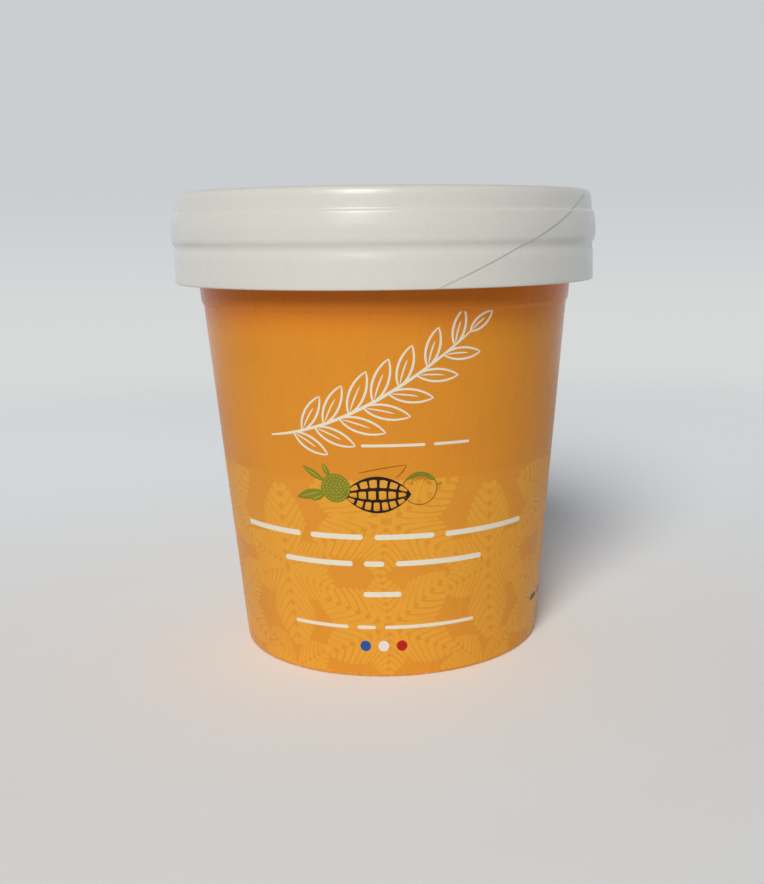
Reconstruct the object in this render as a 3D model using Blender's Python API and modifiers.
"""A shut pint tub of sorbet, made of board: a tapered cup that stands on its foot ring,
and a press-on lid whose beaded band is wound from one strip round a sunken top disc.

Metres, +Z up. The origin is the middle of the foot, on the surface that the cup stands on.
"""
import math

import bpy

MM = 0.001
TURN_STEPS = 72          # facets round every turned piece
GAP = 0.3 * MM           # clearance left between pieces that touch

# Overall sizes
TUB_HEIGHT = 109.3 * MM
FOOT_RADIUS = 36.9 * MM
WALL_TAPER = 0.087       # how much wider the wall gets for each unit of height

# Cup
FOOT_WIDTH = 1.7 * MM
FOOT_ROUND = 0.4 * MM
BASE_RECESS = 6.5 * MM
BASE_THICKNESS = 0.8 * MM
SHOULDER_BOTTOM = 83.0 * MM
SHOULDER_PROUD = 0.42 * MM
SHOULDER_ROUND = 1.1 * MM
RIM_CURL_RADIUS = 2.1 * MM
RIM_OUTER_RADIUS = 49.1 * MM

# Lid
BAND_BOTTOM = 88.4 * MM
BAND_THICKNESS = 1.1 * MM
BAND_SKIRT_RADIUS = 50.5 * MM
BAND_BEAD_RADIUS = 51.0 * MM
BAND_BEAD_TOP = 101.2 * MM
BAND_BEAD_BOTTOM = 98.0 * MM
BAND_GROOVE_HEIGHT = 96.7 * MM
BAND_GROOVE_RADIUS = 50.15 * MM
BAND_SKIRT_TOP = 94.6 * MM
BAND_STEP_TOP = 104.6 * MM
BAND_STEP_BOTTOM = 104.2 * MM
BAND_STEP_RADIUS = 50.55 * MM
BAND_UPPER_BOTTOM_RADIUS = 50.15 * MM
BAND_UPPER_TOP_RADIUS = 49.75 * MM
BAND_TOP_ROUND = 1.8 * MM
BAND_LIP_RADIUS = 46.9 * MM
LID_DISC_THICKNESS = 0.8 * MM
LID_RECESS = 3.8 * MM


def clear_scene():
    for item in list(bpy.data.objects):
        bpy.data.objects.remove(item, do_unlink=True)


def make_collection(name):
    collection = bpy.data.collections.new(name)
    bpy.context.scene.collection.children.link(collection)
    return collection


def linear(channel):
    """One sRGB channel, 0 to 1, as the linear value that a shader takes."""
    if channel <= 0.04045:
        return channel / 12.92
    return ((channel + 0.055) / 1.055) ** 2.4


def make_material(name, rgb, roughness):
    material = bpy.data.materials.new(name)
    material.use_nodes = True
    shader = material.node_tree.nodes["Principled BSDF"]
    shader.inputs["Base Color"].default_value = [linear(c / 255) for c in rgb] + [1.0]
    shader.inputs["Roughness"].default_value = roughness
    shader.inputs["Metallic"].default_value = 0.0
    return material


def arc(centre, radius, start_deg, end_deg, segments):
    """Points on an arc in the profile plane, both ends included; 0 degrees points outwards."""
    points = []
    for i in range(segments + 1):
        angle = math.radians(start_deg + (end_deg - start_deg) * i / segments)
        points.append((centre[0] + radius * math.cos(angle), centre[1] + radius * math.sin(angle)))
    return points


def turned(name, profile, material, collection, closed=False):
    """A solid turned round Z from (radius, height) points that run down its outer side."""
    edges = [(i, i + 1) for i in range(len(profile) - 1)]
    if closed:
        edges.append((len(profile) - 1, 0))
    mesh = bpy.data.meshes.new(name)
    mesh.from_pydata([(radius, 0.0, height) for radius, height in profile], edges, [])
    mesh.materials.append(material)
    item = bpy.data.objects.new(name, mesh)
    collection.objects.link(item)

    screw = item.modifiers.new("Turn", "SCREW")
    screw.axis = "Z"
    screw.angle = math.tau
    screw.steps = TURN_STEPS
    screw.render_steps = TURN_STEPS
    screw.use_merge_vertices = True
    screw.merge_threshold = 0.00001
    screw.use_smooth_shade = True
    return item


def wall_radius(height):
    """Outer radius of the tapered cup wall, without its shoulder."""
    return FOOT_RADIUS + WALL_TAPER * height


def lid_disc_top():
    return TUB_HEIGHT - LID_RECESS


def cup_top():
    """Height of the cup's rim, which the lid disc rests on."""
    return lid_disc_top() - LID_DISC_THICKNESS - GAP


def rim_profile():
    """The rolled rim, from its crown round to where its underside meets the wall."""
    centre = (RIM_OUTER_RADIUS - RIM_CURL_RADIUS, cup_top() - RIM_CURL_RADIUS)
    return arc(centre, RIM_CURL_RADIUS, 90, -90, 10)


def shoulder_profile():
    """The proud band under the rim, which rounds off and drops back to the plain wall."""
    neck_height = cup_top() - 2 * RIM_CURL_RADIUS
    neck = (wall_radius(neck_height) + SHOULDER_PROUD, neck_height - GAP)
    rounding = []
    for i in range(5):
        share = i / 4
        height = SHOULDER_BOTTOM + SHOULDER_ROUND * (1 - share)
        proud = SHOULDER_PROUD * math.cos(share * math.pi / 2)
        rounding.append((wall_radius(height) + proud, height))
    return [neck] + rounding


def foot_profile():
    """The foot ring and the recess inside it, up to the seat of the base disc."""
    outer = arc((FOOT_RADIUS - FOOT_ROUND, FOOT_ROUND), FOOT_ROUND, 0, -90, 3)
    inner_radius = FOOT_RADIUS - FOOT_WIDTH
    inner = arc((inner_radius + FOOT_ROUND, FOOT_ROUND), FOOT_ROUND, -90, -180, 3)
    seat_height = BASE_RECESS + BASE_THICKNESS + GAP
    return outer + inner + [(inner_radius, seat_height)]


def make_cup(collection):
    """Cup and contents in one solid, because a shut tub shows nothing of its inside."""
    board = make_material("printed_board", (212, 143, 50), 0.42)
    top = [(0.0, cup_top())]
    seat = [(0.0, BASE_RECESS + BASE_THICKNESS + GAP)]
    profile = top + rim_profile() + shoulder_profile() + foot_profile() + seat
    return turned("cup_tub", profile, board, collection)


def make_base(collection):
    """The disc that closes the cup's bottom, held up inside the foot ring."""
    board = make_material("base_board", (226, 221, 208), 0.6)
    radius = FOOT_RADIUS - FOOT_WIDTH - GAP
    top = BASE_RECESS + BASE_THICKNESS
    profile = [(0.0, top), (radius, top), (radius, BASE_RECESS), (0.0, BASE_RECESS)]
    return turned("cup_base", profile, board, collection)


def band_outer_profile():
    """The band's outer side: rounded rim, sloping upper band, bead, groove, skirt."""
    round_centre = (BAND_UPPER_TOP_RADIUS - BAND_TOP_ROUND, TUB_HEIGHT - BAND_TOP_ROUND)
    rim = arc(round_centre, BAND_TOP_ROUND, 90, 0, 5)
    upper = [(BAND_UPPER_BOTTOM_RADIUS, BAND_STEP_TOP)]
    bead = [
        (BAND_STEP_RADIUS, BAND_STEP_BOTTOM),
        (BAND_BEAD_RADIUS, BAND_BEAD_TOP),
        (BAND_BEAD_RADIUS, BAND_BEAD_BOTTOM),
    ]
    groove = [
        (BAND_GROOVE_RADIUS, BAND_GROOVE_HEIGHT + 0.3 * MM),
        (BAND_GROOVE_RADIUS, BAND_GROOVE_HEIGHT - 0.5 * MM),
    ]
    hem_round = BAND_THICKNESS / 2
    hem_centre = (BAND_SKIRT_RADIUS - hem_round, BAND_BOTTOM + hem_round)
    skirt = [(BAND_SKIRT_RADIUS, BAND_SKIRT_TOP)] + arc(hem_centre, hem_round, 0, -180, 8)
    return rim + upper + bead + groove + skirt


def band_inner_profile():
    """The band's inner side, from above the hem up to the lip that stands round the disc."""
    skirt_inner = BAND_SKIRT_RADIUS - BAND_THICKNESS
    groove_inner = BAND_GROOVE_RADIUS - BAND_THICKNESS
    bead_inner = BAND_BEAD_RADIUS - BAND_THICKNESS
    upper_inner = BAND_UPPER_BOTTOM_RADIUS - BAND_THICKNESS
    ledge = lid_disc_top() + GAP
    lip_round = 0.7 * MM
    lip = arc((BAND_LIP_RADIUS + lip_round, TUB_HEIGHT - lip_round), lip_round, 180, 100, 4)
    return [
        (skirt_inner, BAND_SKIRT_TOP),
        (groove_inner, BAND_GROOVE_HEIGHT),
        (bead_inner, BAND_BEAD_BOTTOM),
        (bead_inner, BAND_BEAD_TOP),
        (upper_inner, BAND_STEP_TOP),
        (upper_inner, ledge),
        (BAND_LIP_RADIUS, ledge),
    ] + lip


def make_lid_band(collection):
    board = make_material("lid_board", (214, 212, 206), 0.55)
    profile = band_outer_profile() + band_inner_profile()
    return turned("lid_band", profile, board, collection, closed=True)


def make_lid_disc(collection):
    """The lid's top, sunk below the band's rim and held between the rim's lip and the cup."""
    board = make_material("lid_disc_board", (218, 216, 210), 0.55)
    radius = BAND_UPPER_BOTTOM_RADIUS - BAND_THICKNESS - GAP
    top = lid_disc_top()
    bottom = top - LID_DISC_THICKNESS
    profile = [(0.0, top), (radius, top), (radius, bottom), (0.0, bottom)]
    return turned("lid_disc", profile, board, collection)


def main():
    clear_scene()
    collection = make_collection("sorbet_cup")
    make_cup(collection)
    make_base(collection)
    make_lid_band(collection)
    make_lid_disc(collection)


main()
